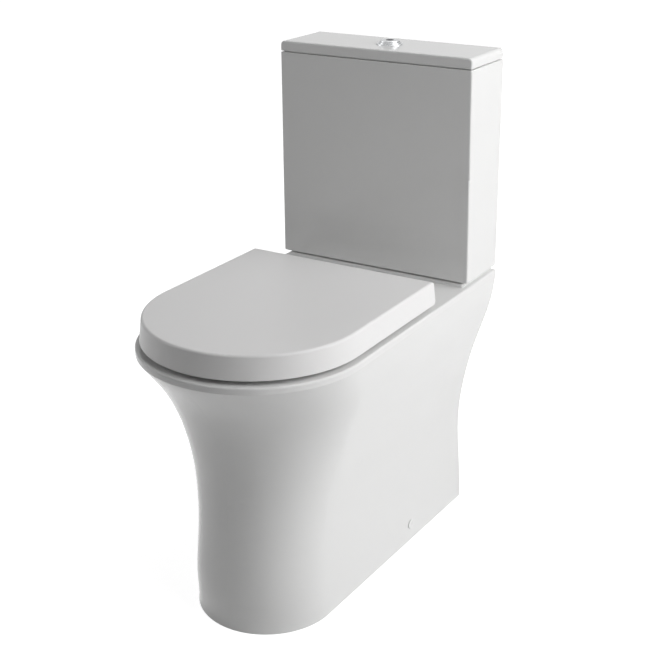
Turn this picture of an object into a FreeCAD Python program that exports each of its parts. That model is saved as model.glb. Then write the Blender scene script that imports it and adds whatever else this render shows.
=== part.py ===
import FreeCAD, Part
import math
import os

# Back-to-wall close-coupled toilet: a skirted pan, a cistern on its rear deck, a wrap-over seat and all
# the fittings inside. Millimetres. The wall is the plane at +Y, the front faces -Y, the floor is z = 0.
# Places along Y are kept as distances in front of the wall.

# Pan outside
projection = 664.6
rim_height = 472.5
rim_half_width = 185.5
rim_band = 10.5
rim_edge_radius = 3.2
base_projection = 581.7
base_half_width_wall = 131.3
base_half_width_front = 119.1
pan_wall = 12.0
deck_thickness = 16.0
plinth_height = 5.5
plinth_half_width = 176.0
plinth_edge_radius = 3.0

# Height, then how far the width at the wall, the width at the nose and the projection have gone from
# the base's to the rim's
pan_profile_shares = [
    (0.000, 0.000, 0.000, 0.000),
    (0.102, -0.031, -0.008, 0.008),
    (0.216, -0.103, -0.045, -0.024),
    (0.325, -0.155, -0.069, -0.087),
    (0.433, -0.122, -0.021, -0.125),
    (0.541, 0.013, 0.107, -0.127),
    (0.649, 0.220, 0.295, -0.049),
    (0.758, 0.502, 0.547, 0.116),
    (0.866, 0.797, 0.807, 0.415),
    (0.952, 0.948, 0.946, 0.780),
    (1.000, 1.000, 1.000, 1.000),
]

# Bowl, an oval well that narrows to the sump
bowl_half_width = 135.0
bowl_half_length = 160.0
bowl_centre = 460.0
sump_half_width = 34.0
sump_half_length = 38.0
sump_centre = 395.0
sump_floor = 92.0

# Height, then how far the width, the length and the centre have gone from the sump's to the mouth's
bowl_profile_shares = [
    (0.000, 0.00, 0.00, 0.00),
    (0.150, 0.04, 0.03, 0.02),
    (0.310, 0.13, 0.17, 0.14),
    (0.470, 0.38, 0.44, 0.50),
    (0.630, 0.70, 0.66, 0.72),
    (0.815, 0.93, 0.86, 0.88),
    (0.930, 0.98, 0.97, 0.98),
    (1.000, 1.00, 1.00, 1.00),
]

# Trap and soil outlet
spigot_radius = 51.0
trap_bore_radius = 39.0
spigot_height = 180.0
spigot_setback = 20.0
trap_bend_radius = 60.0
weir_height = 214.0
weir_distance = 235.0
trap_rise_start = 345.0
trap_fall_end = 140.0

# Where the three cast pieces of the pan are luted together: the bowl below a level, and the trapway
# behind a plane that leans with the bowl's rear
bowl_joint_height = 300.0
trap_joint_distance = 313.0

# Flush duct under the deck, and the well that takes the cistern's outlet
duct_half_width = 52.0
duct_height = 58.0
duct_wall = 10.0
duct_rear = 4.0
duct_mouth_half_width = 38.0
well_radius = 48.0
well_depth = 28.0
well_floor = 12.0
well_hole_radius = 34.0

# Cistern
cistern_bottom = 480.6
cistern_seam = 841.6
cistern_top = 860.6
cistern_half_width_top = 181.8
cistern_half_width_bottom = 185.0
cistern_depth_top = 121.7
cistern_depth_bottom = 117.0
cistern_wall = 9.0
cistern_floor = 10.0
cistern_upright_radius = 3.0
cistern_base_edge_share = 0.93
seam_edge_radius = 1.2
seam_gap = 0.4
shadow_line_height = 1.7
shadow_line_depth = 4.0
cistern_lid_plate = 10.0
cistern_lid_side_share = 2.45
lid_lip_depth = 5.0
lid_lip_wall = 5.0
lid_lip_gap = 1.5
support_pad_radius = 8.0
support_pad_x = 150.0
support_pad_rear = 28.0
support_pad_front = 92.0

# Holes that pass through the deck and the cistern's floor
outlet_axis = 62.0
coupling_bolt_x = 90.0
coupling_bolt_radius = 4.0
coupling_hole_radius = 5.5
inlet_x = -125.0
inlet_hole_radius = 11.5
inlet_deck_hole_radius = 22.0
hinge_post_x = 77.5
hinge_axis = 200.0
hinge_hole_radius = 6.0

# Side fixings near the floor
fixing_distance = 193.0
fixing_height = 33.0
fixing_hole_radius = 5.0
fixing_screw_radius = 2.5
fixing_screw_length = 30.0
fixing_head_radius = 4.4
fixing_head_length = 3.0
fixing_cap_radius = 8.0
fixing_cap_thickness = 1.4
fixing_cap_stem = 5.0
fixing_cap_gap = 0.5
bracket_width = 40.0
bracket_foot_length = 36.0
bracket_foot_thickness = 6.0
bracket_height = 55.0
bracket_wall = 10.0
bracket_side_gap = 0.8
bracket_hole_radius = 3.5

# Flush valve, on the outlet's axis
valve_tail_radius = 30.0
valve_bore_radius = 26.0
valve_tail_drop = 26.0
valve_hole_radius = 31.5
valve_flange_radius = 42.0
valve_flange_thickness = 5.0
valve_seat_height = 4.5
valve_washer_thickness = 3.0
backnut_radius = 38.0
backnut_height = 10.0
doughnut_radius = 46.0
doughnut_bore = 31.0
cage_post_radius = 3.5
cage_ring_half_width = 5.0
cage_post_ring = 37.0
cage_post_count = 4
cage_ring_height = 6.0
cage_head_level = 640.0
cage_head_thickness = 10.0
overflow_radius = 12.0
overflow_bore = 9.5
overflow_top = 680.0
piston_radius = 29.0
piston_thickness = 6.0
seal_radius = 31.0
seal_bore = 20.0
seal_thickness = 3.0

# Lever over the overflow tube: the push rod presses one end, the other lifts the tube by its hook
lever_level = 710.0
lever_pivot_x = -4.2
lever_lift_arm = 31.0
lever_half_thickness = 2.0
lever_half_width = 4.0
lever_pin_radius = 2.5
lever_boss_radius = 5.0
cheek_near = 13.5
cheek_thickness = 4.0
cheek_half_width = 6.0
hook_near = 35.0
hook_thickness = 4.0
hook_reach = 14.0
hook_height = 5.0

# Push button in the cistern's lid
button_hole_radius = 20.5
bezel_flange_radius = 22.4
bezel_flange_thickness = 2.0
bezel_collar_radius = 18.6
bezel_collar_height = 4.0
bezel_thread_radius = 19.4
bezel_bore_radius = 17.0
bezel_web_thickness = 3.0
bezel_web_hole_radius = 3.0
locknut_radius = 27.0
locknut_height = 7.0
button_stand = 7.0
button_gap = 0.4
button_height = 15.0
button_edge_radius = 1.2
button_dish_depth = 0.8
button_dish_radius = 30.0
centre_button_radius = 6.5
button_stroke = 6.0
rod_radius = 2.0
full_rod_offset = 11.4
half_rod_radius = 2.5
half_rod_jog_level = 735.0
half_rod_side = 14.0
half_rod_end = 660.0
spring_wall = 1.8
spring_pressed_length = 14.0
full_spring_radius = 16.0
half_spring_radius = 5.8

# Fill valve
fill_tail_radius = 10.5
fill_tail_drop = 56.0
fill_neck_height = 2.0
fill_neck_depth = 0.8
fill_bore_radius = 6.0
fill_flange_radius = 16.0
fill_flange_thickness = 4.0
fill_washer_thickness = 3.0
fill_nut_radius = 17.0
fill_nut_height = 9.0
fill_riser_radius = 11.0
fill_head_radius = 17.0
fill_head_level = 760.0
fill_head_height = 30.0
fill_cap_radius = 19.0
fill_cap_height = 14.0
float_radius = 26.0
float_low = 660.0
float_height = 55.0
float_bore_gap = 0.5
float_link_reach = 30.0
float_link_radius = 2.0
float_arm_pivot_x = -10.0
float_arm_half_width = 4.0
float_arm_half_thickness = 2.0
float_arm_level = 812.0
float_arm_pin_radius = 2.0
float_arm_boss_radius = 4.5
float_ear_thickness = 3.0
float_ear_half_width = 4.0

# Close coupling
bolt_head_radius = 8.0
bolt_head_height = 6.0
bolt_length = 62.0
bolt_seal_radius = 13.0
bolt_seal_thickness = 4.0
coupling_washer_radius = 14.0
coupling_washer_thickness = 2.0
wing_nut_radius = 8.0
wing_nut_height = 10.0
wing_length = 20.0
wing_thickness = 2.5

# Seat lid, a D that wraps over the ring
lid_rear = 225.0
lid_front = 656.0
lid_half_width = 180.0
lid_bottom = 480.1
lid_top = 517.3
lid_draft = 4.5
lid_edge_radius = 4.5
lid_skirt_wall = 4.0
lid_plate_thickness = 5.0
lid_rear_corner_radius = 7.0

# Seat ring
ring_bottom = 478.0
ring_top = 506.0
ring_side_gap = 2.5
ring_rear = 233.0
ring_edge_radius = 4.0
ring_hole_half_width = 103.0
ring_hole_half_length = 145.0
ring_hole_centre = 440.0
ring_hole_edge_radius = 8.0
ring_buffer_half_width = 9.0
ring_buffer_half_length = 14.0
ring_buffer_inset = 30.0
ring_buffer_rear = 275.0
ring_buffer_front = 500.0
lid_buffer_radius = 6.0

# Seat hinge
hinge_level = 492.0
hinge_pin_radius = 4.0
hinge_pin_half_length = 25.0
post_half_width = 8.0
post_half_depth = 9.0
post_base_radius = 18.0
post_base_height = 5.0
post_gasket_thickness = 1.5
knuckle_radius = 9.0
knuckle_length = 15.0
knuckle_gap = 0.8
knuckle_arm_height = 9.0
damper_radius = 6.2
hinge_bolt_radius = 4.0
hinge_bolt_length = 48.0
hinge_washer_radius = 13.0
hinge_washer_thickness = 3.0

# Fits and clearances shared by all pieces
overrun = 2.0
touch_gap = 0.3
thread_gap = 0.05
running_gap = 0.05

wall_y = projection / 2
pan_section_top = rim_height - rim_band
plinth_top = rim_height + plinth_height
half_share = 0.5
diagonal_share = math.sqrt(half_share)
full_turn = 2 * math.pi
hexagon_sides = 6
UP = FreeCAD.Vector(0, 0, 1)
RIGHT = FreeCAD.Vector(1, 0, 0)
TO_WALL = FreeCAD.Vector(0, 1, 0)


def at(x, distance, z):
    """A point at a distance in front of the wall."""
    return FreeCAD.Vector(x, wall_y - distance, z)


def between(low, high, share):
    return low + (high - low) * share


def upright(radius, z_low, z_high, x, distance):
    """A solid round bar along Z."""
    return Part.makeCylinder(radius, z_high - z_low, at(x, distance, z_low), UP)


def sleeve(outer, inner, z_low, z_high, x, distance):
    """A round tube along Z."""
    bore = upright(inner, z_low - overrun, z_high + overrun, x, distance)
    return upright(outer, z_low, z_high, x, distance).cut(bore)


def crossbar(radius, x_low, x_high, distance, z):
    """A solid round bar along X."""
    return Part.makeCylinder(radius, x_high - x_low, at(x_low, distance, z), RIGHT)


def cross_sleeve(outer, inner, x_low, x_high, distance, z):
    """A round tube along X."""
    bore = crossbar(inner, x_low - overrun, x_high + overrun, distance, z)
    return crossbar(outer, x_low, x_high, distance, z).cut(bore)


def block(x_low, x_high, near, far, z_low, z_high):
    """A box from near the wall to far from it."""
    return Part.makeBox(x_high - x_low, far - near, z_high - z_low, at(x_low, far, z_low))


def fuse(first, *others):
    return first.fuse(list(others)).removeSplitter()


def side_prism(low_x, high_x, outline):
    """A prism across X, from its outline of distances and heights."""
    corners = [at(low_x, distance, z) for distance, z in outline]
    face = Part.Face(Part.makePolygon(corners + corners[:1]))
    return face.extrude(FreeCAD.Vector(high_x - low_x, 0, 0))


def group(*solids):
    """Separate solids kept in one file."""
    return Part.makeCompound(list(solids))


def mirrored(shape):
    """The same shape on the other side of the middle plane."""
    return shape.mirror(FreeCAD.Vector(0, 0, 0), RIGHT)


def pair(shape):
    return group(shape, mirrored(shape))


def edges_where(shape, test):
    return [edge for edge in shape.Edges if test(edge)]


def flat_at(z):
    """A test for edges that lie in the level plane at z."""
    return lambda edge: abs(edge.BoundBox.ZMin - z) + abs(edge.BoundBox.ZMax - z) < touch_gap


def save(node, shape):
    if not shape.isValid():
        raise ValueError(node + " is not a valid shape")
    shape.exportStep("parts/" + node + ".step")


def d_wire(half_rear, half_front, rear, front, z):
    """A D outline: a line at the rear, two sides and a round nose."""
    centre = front - half_front
    reach = half_front * diagonal_share
    left_rear = at(-half_rear, rear, z)
    right_rear = at(half_rear, rear, z)
    right = at(half_front, centre, z)
    left = at(-half_front, centre, z)
    nose = at(0, front, z)
    right_arc = Part.Arc(right, at(reach, centre + reach, z), nose).toShape()
    left_arc = Part.Arc(nose, at(-reach, centre + reach, z), left).toShape()
    sides = [Part.makeLine(left_rear, right_rear), Part.makeLine(right_rear, right)]
    return Part.Wire(sides + [right_arc, left_arc, Part.makeLine(left, left_rear)])


def d_prism(half_rear, half_front, rear, front, z_low, z_high):
    outline = Part.Face(d_wire(half_rear, half_front, rear, front, z_low))
    return outline.extrude(UP * (z_high - z_low))


def oval_wire(half_width, half_length, centre, z):
    """An ellipse whose long axis runs out from the wall."""
    middle = at(0, centre, z)
    if half_length > half_width:
        oval = Part.Ellipse(at(0, centre + half_length, z), at(half_width, centre, z), middle)
    else:
        oval = Part.Ellipse(at(half_width, centre, z), at(0, centre + half_length, z), middle)
    return Part.Wire(oval.toShape())


def pan_loft(inset, rear, z_low, z_high):
    """The pan's outside, or its inside when inset by the wall, between two heights."""
    sections = []
    for height_share, wall_share, nose_share, front_share in pan_profile_shares:
        half_rear = between(base_half_width_wall, rim_half_width, wall_share) - inset
        half_front = between(base_half_width_front, rim_half_width, nose_share) - inset
        front = between(base_projection, projection, front_share) - inset
        z = between(z_low, z_high, height_share)
        sections.append(d_wire(half_rear, half_front, rear, front, z))
    return Part.makeLoft(sections, True, False)


def skirt_half_width(distance, z):
    """Half the skirt's outside width at a distance from the wall and a height."""
    share = z / pan_section_top
    for low, high in zip(pan_profile_shares, pan_profile_shares[1:]):
        if low[0] <= share <= high[0]:
            part = (share - low[0]) / (high[0] - low[0])
            wall_share, nose_share, front_share = [
                between(low[column], high[column], part) for column in (1, 2, 3)
            ]
            half_rear = between(base_half_width_wall, rim_half_width, wall_share)
            half_front = between(base_half_width_front, rim_half_width, nose_share)
            front = between(base_projection, projection, front_share)
            return between(half_rear, half_front, distance / (front - half_front))
    raise ValueError("the height lies outside the skirt")


def rounded_path(points, radius):
    """A wire of straight runs joined by tangent arcs of one radius."""
    edges = []
    start = points[0]
    for before, corner, after in zip(points, points[1:], points[2:]):
        inward = (before - corner).normalize()
        outward = (after - corner).normalize()
        half_angle = inward.getAngle(outward) / 2
        tangent = radius / math.tan(half_angle)
        arc_start = corner + inward * tangent
        arc_end = corner + outward * tangent
        middle_line = (inward + outward).normalize()
        arc_middle = corner + middle_line * (radius / math.sin(half_angle) - radius)
        edges.append(Part.makeLine(start, arc_start))
        edges.append(Part.Arc(arc_start, arc_middle, arc_end).toShape())
        start = arc_end
    edges.append(Part.makeLine(start, points[-1]))
    return Part.Wire(edges)


def trap_run(radius, wall_end):
    """The round passage from the sump over the weir to the outlet."""
    low = sump_floor + trap_bore_radius
    crest = weir_height + trap_bore_radius
    points = [
        at(0, sump_centre, low),
        at(0, trap_rise_start, low),
        at(0, weir_distance, crest),
        at(0, trap_fall_end, spigot_height),
        at(0, wall_end, spigot_height),
    ]
    ring = Part.Wire(Part.makeCircle(radius, points[0], TO_WALL))
    return rounded_path(points, trap_bend_radius).makePipeShell([ring], True, False)


def bowl_loft(outset):
    """The bowl's inside, or its outer skin when set out by the wall."""
    sections = []
    floor = sump_floor - outset
    for height_share, width_share, length_share, centre_share in bowl_profile_shares:
        half_width = between(sump_half_width, bowl_half_width, width_share) + outset
        half_length = between(sump_half_length, bowl_half_length, length_share) + outset
        centre = between(sump_centre, bowl_centre, centre_share)
        z = between(floor, rim_height, height_share)
        sections.append(oval_wire(half_width, half_length, centre, z))
    return Part.makeLoft(sections, True, False)


def rim_band_solid():
    """The straight band at the rim, with its top edge rounded at the sides and nose."""
    band = d_prism(rim_half_width, rim_half_width, 0, projection, pan_section_top, rim_height)
    top = flat_at(rim_height)
    rear = wall_y - touch_gap
    rounded = edges_where(band, lambda edge: top(edge) and edge.BoundBox.YMin < rear)
    return band.makeFillet(rim_edge_radius, rounded)


def plinth_solid():
    """The low step that the cistern stands on."""
    step = block(
        -plinth_half_width, plinth_half_width, 0, cistern_depth_bottom,
        rim_height - rim_band, plinth_top,
    )
    front = wall_y - cistern_depth_bottom
    uprights = edges_where(
        step,
        lambda edge: edge.BoundBox.ZLength > touch_gap and edge.BoundBox.YMax < front + touch_gap,
    )
    step = step.makeFillet(cistern_upright_radius, uprights)
    top = flat_at(plinth_top)
    rear = wall_y - touch_gap
    edge_list = edges_where(step, lambda edge: top(edge) and edge.BoundBox.YMin < rear)
    return step.makeFillet(plinth_edge_radius, edge_list)


def pan_cuts():
    """Everything that is drilled or hollowed through the finished pan."""
    deck_low = rim_height - deck_thickness - overrun
    deck_high = plinth_top + overrun
    well_bottom = plinth_top - well_depth
    duct_roof = well_bottom - well_floor
    duct_floor = rim_height - deck_thickness - duct_height + duct_wall
    mouth = bowl_centre - bowl_half_length + pan_wall + bowl_half_width * half_share * half_share
    cuts = [
        upright(well_radius, well_bottom, deck_high, 0, outlet_axis),
        upright(well_hole_radius, duct_roof - overrun, deck_high, 0, outlet_axis),
        block(
            -duct_mouth_half_width, duct_mouth_half_width, duct_rear + duct_wall, mouth,
            duct_floor, duct_roof,
        ),
        upright(inlet_deck_hole_radius, deck_low, deck_high, inlet_x, outlet_axis),
    ]
    side_reach = rim_half_width - base_half_width_front
    for side in (-1, 1):
        cuts.append(upright(coupling_hole_radius, deck_low, deck_high, side * coupling_bolt_x, outlet_axis))
        cuts.append(upright(hinge_hole_radius, deck_low, deck_high, side * hinge_post_x, hinge_axis))
        near_x = side * (base_half_width_wall - side_reach * half_share)
        far_x = side * rim_half_width
        low_x = min(near_x, far_x)
        high_x = max(near_x, far_x)
        cuts.append(crossbar(fixing_hole_radius, low_x, high_x, fixing_distance, fixing_height))
    return cuts


def behind_trap_joint():
    """Everything behind the leaning plane where the bowl and the trapway meet."""
    low_distance = sump_centre - sump_half_length - pan_wall
    low_level = sump_floor - pan_wall
    lean = (low_distance - trap_joint_distance) / (bowl_joint_height - low_level)
    top_distance = low_distance - lean * (rim_height - low_level)
    foot_distance = low_distance + lean * low_level
    outline = [(0, 0), (foot_distance, 0), (top_distance, rim_height), (0, rim_height)]
    return side_prism(-rim_half_width, rim_half_width, outline)


def make_pan():
    """Outer casting with its rim, deck and flush duct, and inside it the bowl and the trapway."""
    outside = pan_loft(0, 0, 0, pan_section_top).fuse(rim_band_solid())
    deck_low = rim_height - deck_thickness
    hollow = pan_loft(pan_wall, -overrun, -overrun, deck_low)
    shell = outside.cut(hollow).fuse(plinth_solid())
    duct = block(
        -duct_half_width, duct_half_width, duct_rear, bowl_centre - bowl_half_length + pan_wall,
        deck_low - duct_height, deck_low + overrun,
    )
    bowl_inside = bowl_loft(0)
    below_joint = block(-rim_half_width, rim_half_width, 0, projection, 0, bowl_joint_height)
    bowl_skin = bowl_loft(pan_wall)
    casting = shell.fuse([duct, bowl_skin.cut(below_joint)]).cut([bowl_inside] + pan_cuts())
    passage = trap_run(trap_bore_radius, -overrun)
    trap = trap_run(spigot_radius, spigot_setback)
    rear = behind_trap_joint()
    basin = bowl_skin.common(below_joint).fuse(trap.cut(rear)).cut([bowl_inside, passage])
    save("pan", casting.removeSplitter())
    save("pan_bowl", basin.removeSplitter())
    save("pan_trapway", trap.common(rear).cut(passage).removeSplitter())


def tapered_box(inset, near_wall, z_low, z_high):
    """The cistern's outside, or its inside when inset by the wall, between two heights."""
    wires = []
    for z in (z_low, z_high):
        share = (z - cistern_bottom) / (cistern_seam - cistern_bottom)
        half_width = between(cistern_half_width_bottom, cistern_half_width_top, share) - inset
        depth = between(cistern_depth_bottom, cistern_depth_top, share) - inset
        corners = [
            at(-half_width, near_wall, z), at(half_width, near_wall, z),
            at(half_width, depth, z), at(-half_width, depth, z),
        ]
        wires.append(Part.makePolygon(corners + corners[:1]))
    return Part.makeLoft(wires, True, True)


def steep(edge):
    return edge.BoundBox.ZLength > edge.BoundBox.XLength + edge.BoundBox.YLength


def make_cistern_body():
    """Open-topped tank with holes in its floor for the two valves and the two bolts."""
    shell = tapered_box(0, 0, cistern_bottom, cistern_seam)
    shell = shell.makeFillet(cistern_upright_radius, edges_where(shell, steep))
    base = flat_at(cistern_bottom)
    shell = shell.makeFillet(cistern_base_edge_share * cistern_upright_radius, edges_where(shell, base))
    shell = shell.makeFillet(seam_edge_radius, edges_where(shell, flat_at(cistern_seam)))
    inner_floor = cistern_bottom + cistern_floor
    tank = tapered_box(cistern_wall, cistern_wall, inner_floor, cistern_seam + overrun)
    tank = tank.makeFillet(cistern_upright_radius, edges_where(tank, steep))
    low = cistern_bottom - overrun
    high = inner_floor + overrun
    holes = [
        upright(valve_hole_radius, low, high, 0, outlet_axis),
        upright(inlet_hole_radius, low, high, inlet_x, outlet_axis),
        upright(coupling_hole_radius, low, high, -coupling_bolt_x, outlet_axis),
        upright(coupling_hole_radius, low, high, coupling_bolt_x, outlet_axis),
    ]
    return shell.cut([tank] + holes)


def make_cistern_lid():
    """Flush lid over a shadow line, with a locating lip inside the tank and the button's hole."""
    underside = cistern_seam + seam_gap
    edge_low = underside + shadow_line_height
    shell = tapered_box(0, 0, edge_low, cistern_top)
    side_edges = edges_where(
        shell,
        lambda edge: flat_at(cistern_top)(edge) and edge.BoundBox.XLength < edge.BoundBox.YLength,
    )
    shell = shell.makeFillet(cistern_lid_side_share * cistern_upright_radius, side_edges)
    shell = shell.makeFillet(cistern_upright_radius, edges_where(shell, steep))
    shell = shell.makeFillet(seam_edge_radius, edges_where(shell, flat_at(edge_low)))
    seat = tapered_box(shadow_line_depth, shadow_line_depth, underside, edge_low + shadow_line_height)
    plate_low = cistern_top - cistern_lid_plate
    lip_inset = cistern_wall + lid_lip_gap
    recess = tapered_box(lip_inset, lip_inset, underside - overrun, plate_low)
    lip_outer = tapered_box(lip_inset, lip_inset, underside - lid_lip_depth, plate_low + overrun)
    lip_outer = lip_outer.makeFillet(cistern_upright_radius, edges_where(lip_outer, steep))
    inset = lip_inset + lid_lip_wall
    lip_inner = tapered_box(inset, inset, underside - lid_lip_depth - overrun, plate_low)
    hole = upright(button_hole_radius, plate_low - overrun, cistern_top + overrun, 0, outlet_axis)
    return shell.fuse(seat).cut(recess).fuse(lip_outer.cut(lip_inner)).cut(hole).removeSplitter()


def make_support_pads():
    pads = []
    for side in (-1, 1):
        for distance in (support_pad_rear, support_pad_front):
            pads.append(upright(
                support_pad_radius, plinth_top, cistern_bottom, side * support_pad_x, distance,
            ))
    return group(*pads)


def hexagon(flat_radius, z_low, z_high, x, distance):
    """A hexagonal bar along Z, given the radius to its flats."""
    corner = flat_radius / math.cos(math.pi / hexagon_sides)
    points = []
    for index in range(hexagon_sides + 1):
        angle = index * full_turn / hexagon_sides
        points.append(at(x + corner * math.cos(angle), distance + corner * math.sin(angle), z_low))
    return Part.Face(Part.makePolygon(points)).extrude(UP * (z_high - z_low))


def wing_nut(bolt_radius, z_high, x, distance):
    """A round nut with two upright wings, its flat face at the top."""
    z_low = z_high - wing_nut_height
    wings = block(
        x - wing_length, x + wing_length, distance - wing_thickness / 2, distance + wing_thickness / 2,
        z_low - wing_nut_height / 2, z_high - wing_thickness,
    )
    boss = upright(wing_nut_radius, z_low, z_high, x, distance)
    bore = upright(bolt_radius + thread_gap, z_low - wing_nut_height, z_high + overrun, x, distance)
    return fuse(boss, wings).cut(bore)


def make_coupling():
    """Bolts, seals, washers and wing nuts that hold the cistern to the deck."""
    seal_low = cistern_bottom + cistern_floor
    seal_high = seal_low + bolt_seal_thickness
    head_high = seal_high + bolt_head_height
    x = coupling_bolt_x
    bolt = fuse(
        hexagon(bolt_head_radius, seal_high, head_high, x, outlet_axis),
        upright(coupling_bolt_radius, head_high - bolt_length, seal_high, x, outlet_axis),
    )
    seal = sleeve(bolt_seal_radius, coupling_bolt_radius + thread_gap, seal_low, seal_high, x, outlet_axis)
    deck_low = rim_height - deck_thickness
    washer_low = deck_low - coupling_washer_thickness
    washer = sleeve(
        coupling_washer_radius, coupling_bolt_radius + thread_gap, washer_low, deck_low, x, outlet_axis,
    )
    nut = wing_nut(coupling_bolt_radius, washer_low, x, outlet_axis)
    save("coupling_bolts", pair(bolt))
    save("coupling_bolt_seals", pair(seal))
    save("coupling_washers", pair(washer))
    save("coupling_wing_nuts", pair(nut))


def make_floor_fixings():
    """Brackets on the floor inside the skirt, with a screw and a cap at each side."""
    outer = skirt_half_width(fixing_distance, fixing_height)
    inner = skirt_half_width(fixing_distance + bracket_width, fixing_height) - pan_wall - bracket_side_gap
    near = fixing_distance - bracket_width / 2
    far = fixing_distance + bracket_width / 2
    foot = block(inner - bracket_foot_length, inner, near, far, 0, bracket_foot_thickness)
    plate = block(inner - bracket_wall, inner, near, far, 0, bracket_height)
    foot_hole_x = inner - bracket_foot_length + bracket_wall
    foot_hole = upright(bracket_hole_radius, -overrun, bracket_height, foot_hole_x, fixing_distance)
    screw_tip = outer - fixing_cap_stem - fixing_head_length - fixing_screw_length
    pilot = crossbar(
        fixing_screw_radius + thread_gap, screw_tip - overrun, outer, fixing_distance, fixing_height,
    )
    bracket = fuse(foot, plate).cut([foot_hole, pilot])
    head_low = outer - fixing_cap_stem - fixing_head_length
    screw = fuse(
        crossbar(fixing_screw_radius, screw_tip, head_low, fixing_distance, fixing_height),
        crossbar(fixing_head_radius, head_low, head_low + fixing_head_length, fixing_distance, fixing_height),
    )
    face = outer + fixing_cap_gap
    disc = crossbar(fixing_cap_radius, face, face + fixing_cap_thickness, fixing_distance, fixing_height)
    outer_edge = edges_where(disc, lambda edge: edge.BoundBox.XMin > face + touch_gap)
    disc = disc.makeFillet(fixing_cap_thickness * half_share, outer_edge)
    stem = crossbar(
        fixing_hole_radius - touch_gap, outer - fixing_cap_stem + touch_gap, face + touch_gap,
        fixing_distance, fixing_height,
    )
    save("floor_brackets", pair(bracket))
    save("side_fixing_screws", pair(screw))
    save("side_fixing_caps", pair(fuse(disc, stem)))


def lengthwise(radius, half_length, x, z):
    """A round bar along Y, centred on the outlet's axis."""
    start = at(x, outlet_axis + half_length, z)
    return Part.makeCylinder(radius, half_length * 2, start, TO_WALL)


def make_flush_valve_base():
    """Threaded tail through the cistern's floor, with its washer, its nut and the ring seal below."""
    floor = cistern_bottom + cistern_floor
    washer_high = floor + valve_washer_thickness
    flange_high = washer_high + valve_flange_thickness
    seat_high = flange_high + valve_seat_height
    tail_low = cistern_bottom - valve_tail_drop
    base = fuse(
        upright(valve_tail_radius, tail_low, flange_high, 0, outlet_axis),
        upright(valve_flange_radius, washer_high, flange_high, 0, outlet_axis),
        upright(valve_tail_radius, flange_high, seat_high, 0, outlet_axis),
    )
    base = base.cut(upright(valve_bore_radius, tail_low - overrun, seat_high + overrun, 0, outlet_axis))
    nut_low = cistern_bottom - backnut_height
    thread = valve_tail_radius + thread_gap
    nut = hexagon(backnut_radius, nut_low, cistern_bottom, 0, outlet_axis)
    nut = nut.cut(upright(thread, nut_low - overrun, cistern_bottom + overrun, 0, outlet_axis))
    save("flush_valve_base", base)
    save("flush_valve_washer", sleeve(valve_flange_radius, thread, floor, washer_high, 0, outlet_axis))
    save("flush_valve_backnut", nut)
    well_bottom = plinth_top - well_depth
    save("doughnut_washer", sleeve(doughnut_radius, doughnut_bore, well_bottom, nut_low, 0, outlet_axis))
    return seat_high


def make_flush_valve_cage():
    """Ring, posts and head round the overflow tube, with two cheeks that carry the lever's pin."""
    ring_low = cistern_bottom + cistern_floor + valve_washer_thickness + valve_flange_thickness
    ring_inner = cage_post_ring - cage_ring_half_width
    ring_outer = cage_post_ring + cage_ring_half_width
    head_high = cage_head_level + cage_head_thickness
    ring = sleeve(ring_outer, ring_inner, ring_low, ring_low + cage_ring_height, 0, outlet_axis)
    head = sleeve(
        ring_outer, overflow_radius + touch_gap, cage_head_level, head_high, 0, outlet_axis,
    )
    posts = []
    for index in range(cage_post_count):
        angle = (index + half_share) * full_turn / cage_post_count
        x = cage_post_ring * math.cos(angle)
        distance = outlet_axis + cage_post_ring * math.sin(angle)
        posts.append(upright(cage_post_radius, ring_low, head_high, x, distance))
    cheeks = []
    for near in (outlet_axis - cheek_near - cheek_thickness, outlet_axis + cheek_near):
        cheeks.append(block(
            lever_pivot_x - cheek_half_width, lever_pivot_x + cheek_half_width,
            near, near + cheek_thickness, cage_head_level, lever_level + cheek_half_width,
        ))
    cage = fuse(ring, head, *posts, *cheeks)
    pin_half_length = cheek_near + cheek_thickness
    pin_hole = lengthwise(lever_pin_radius, pin_half_length + overrun, lever_pivot_x, lever_level)
    guide = upright(
        half_rod_radius + button_gap, cage_head_level - overrun, head_high + overrun,
        half_rod_side, outlet_axis + half_rod_side,
    )
    save("flush_valve_cage", cage.cut([pin_hole, guide]))
    pin = lengthwise(lever_pin_radius - running_gap, pin_half_length, lever_pivot_x, lever_level)
    save("flush_lever_pin", pin)


def make_overflow_tube(seat_high):
    """Tube with the piston at its foot and the hook that the lever lifts, and its rubber seal."""
    seal_high = seat_high + seal_thickness
    piston_high = seal_high + piston_thickness
    tube = upright(overflow_radius, seal_high, overflow_top, 0, outlet_axis)
    piston = upright(piston_radius, seal_high, piston_high, 0, outlet_axis)
    spigot = upright(seal_bore - running_gap, seat_high + running_gap, seal_high, 0, outlet_axis)
    near = outlet_axis - lever_half_width
    far = outlet_axis + lever_half_width
    arm_low = overflow_top - hook_height * 2
    hook_low = lever_level + lever_half_thickness + touch_gap
    hook_x = lever_pivot_x - hook_near
    arm = block(hook_x - hook_thickness, 0, near, far, arm_low, arm_low + hook_height)
    strut = block(hook_x - hook_thickness, hook_x, near, far, arm_low, hook_low + hook_height)
    hook = block(hook_x - hook_thickness, hook_x + hook_reach, near, far, hook_low, hook_low + hook_height)
    body = fuse(tube, piston, spigot, arm, strut, hook)
    body = body.cut(upright(overflow_bore, seat_high - overrun, overflow_top + overrun, 0, outlet_axis))
    save("overflow_tube", body)
    save("flush_seal", sleeve(seal_radius, seal_bore, seat_high, seal_high, 0, outlet_axis))


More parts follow.
